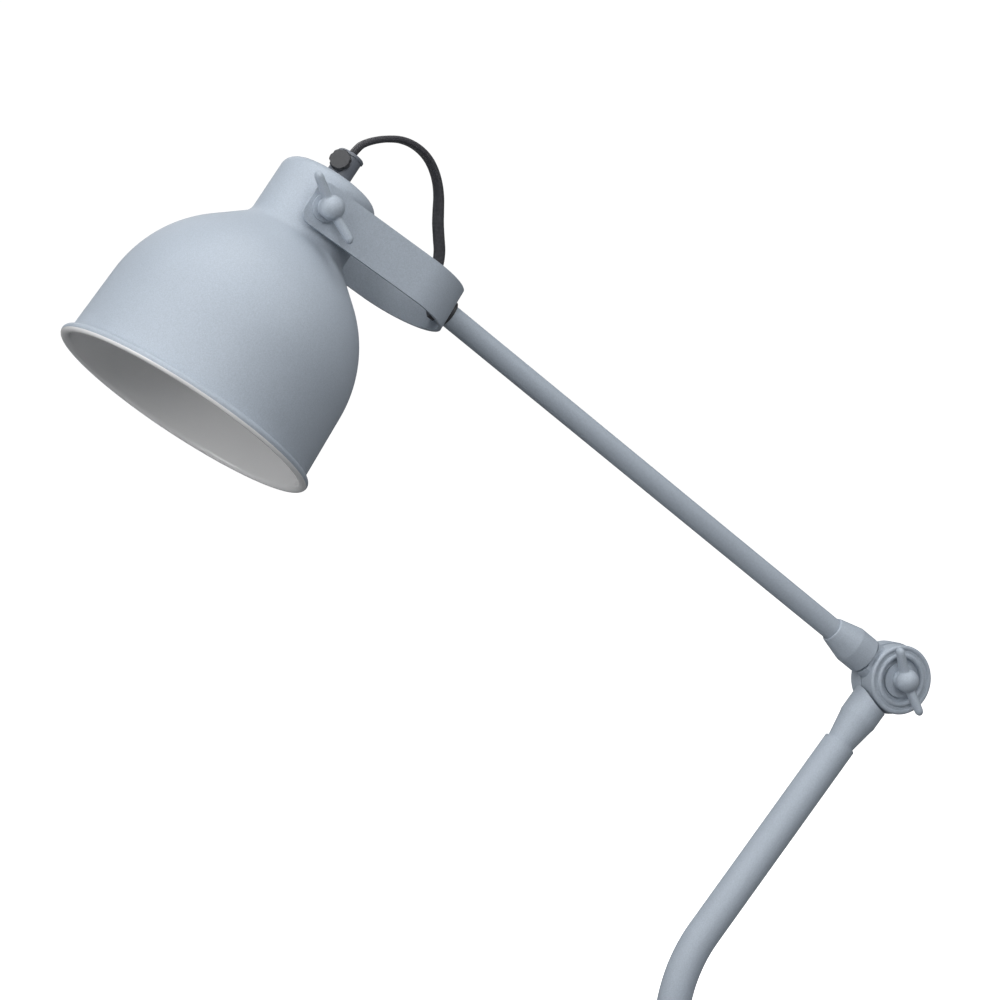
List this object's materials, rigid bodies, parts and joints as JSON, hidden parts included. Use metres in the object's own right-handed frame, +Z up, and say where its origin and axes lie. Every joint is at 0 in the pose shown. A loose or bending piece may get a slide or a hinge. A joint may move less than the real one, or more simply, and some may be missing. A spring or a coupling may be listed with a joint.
{
  "type": "desk lamp",
  "caption": "Desk lamp with a bell shade that tilts in a strap yoke, a straight arm on a friction elbow, a bent stem and a round weighted base.",
  "frame": {"origin": "centre of the base's underside, on the surface the lamp stands on", "axes": "+Z up along the lower stem; the stem and arm lie in the XZ plane and the shade points towards -X; the joints of the arm turn about Y, with the elbow's wing nut on the -Y side"},
  "size_m": [0.506, 0.19, 0.5866],
  "materials": {
    "grey_coat": "satin fine-texture powder coat, blue-grey; the inside of the shade is glossy white enamel",
    "ballast": "rough, painted black",
    "foot_pad": "matte foam rubber",
    "black_plastic": "fine matte",
    "friction_fibre": "pressed fibre",
    "plated_steel": "zinc plated",
    "holder_white": "smooth",
    "brass": "drawn",
    "bulb_opal": "opal white",
    "bulb_metal": "drawn",
    "black_flex": "flat two-core flex with a fine braided surface"
  },
  "bodies": {
    "stand": {"base_cover": "grey_coat", "base_weight": "ballast", "base_pad": "foot_pad", "base_bush": "black_plastic", "stem_collar": "grey_coat", "stem_plug": "plated_steel", "stem_washer": "plated_steel", "stem_nut": "plated_steel", "stem_tube": "grey_coat", "stem_fitting": "grey_coat", "elbow_bolt": "plated_steel", "elbow_friction_washer": "friction_fibre", "stem_lead": "black_flex"},
    "arm": {"arm_fitting": "grey_coat", "arm_ferrule": "grey_coat", "arm_tube": "grey_coat", "elbow_cup_washer": "plated_steel", "yoke": "grey_coat", "yoke_washer": "black_plastic", "arm_nipple": "plated_steel", "yoke_nut": "plated_steel", "arm_bush": "black_plastic", "arm_lead": "black_flex"},
    "head": {"shade": "grey_coat", "shade_neck": "grey_coat", "pivot_spacer_near": "grey_coat", "pivot_spacer_far": "grey_coat", "pivot_stud_near": "plated_steel", "pivot_stud_far": "plated_steel", "pivot_washer_near": "plated_steel", "pivot_washer_far": "plated_steel", "entry_nipple": "plated_steel", "entry_nut": "plated_steel", "cord_grip": "black_plastic", "holder_cap": "holder_white", "holder_skirt": "holder_white", "holder_insert": "holder_white", "screw_shell": "brass", "centre_contact": "brass", "terminal_screws": "brass", "bulb_glass": "bulb_opal", "bulb_cap": "bulb_metal", "bulb_tip": "bulb_metal", "head_flex": "black_flex"},
    "elbow_knob": {"elbow_wing_nut": "grey_coat"},
    "head_knob_near": {"head_wing_nut_near": "grey_coat"},
    "head_knob_far": {"head_wing_nut_far": "grey_coat"},
    "grip_knob": {"grip_screw": "black_plastic"}
  },
  "joints": [
    {"name": "elbow", "type": "hinge", "parent": "stand", "child": "arm", "pos_m": [0.14023, 0, 0.28505], "axis": [0, 1, 0], "range_deg": [-16, 95]},
    {"name": "head_tilt", "type": "hinge", "parent": "arm", "child": "head", "pos_m": [-0.21888, 0, 0.54849], "axis": [0, -1, 0], "range_deg": [-72, 19], "deforming": ["head_flex"]},
    {"name": "elbow_knob_turn", "type": "hinge", "parent": "stand", "child": "elbow_knob", "pos_m": [0.14023, -0.0099, 0.28505], "axis": [0, 1, 0], "range_deg": [0, 360]},
    {"name": "head_knob_near_turn", "type": "hinge", "parent": "head", "child": "head_knob_near", "pos_m": [-0.21888, -0.0343, 0.54849], "axis": [0, 1, 0], "range_deg": [0, 360]},
    {"name": "head_knob_far_turn", "type": "hinge", "parent": "head", "child": "head_knob_far", "pos_m": [-0.21888, 0.0343, 0.54849], "axis": [0, -1, 0], "range_deg": [0, 360]},
    {"name": "grip_screw_turn", "type": "hinge", "parent": "head", "child": "grip_knob", "pos_m": [-0.19457, 0, 0.56954], "axis": [0.5213, 0.766, -0.376], "range_deg": [0, 360]}
  ]
}
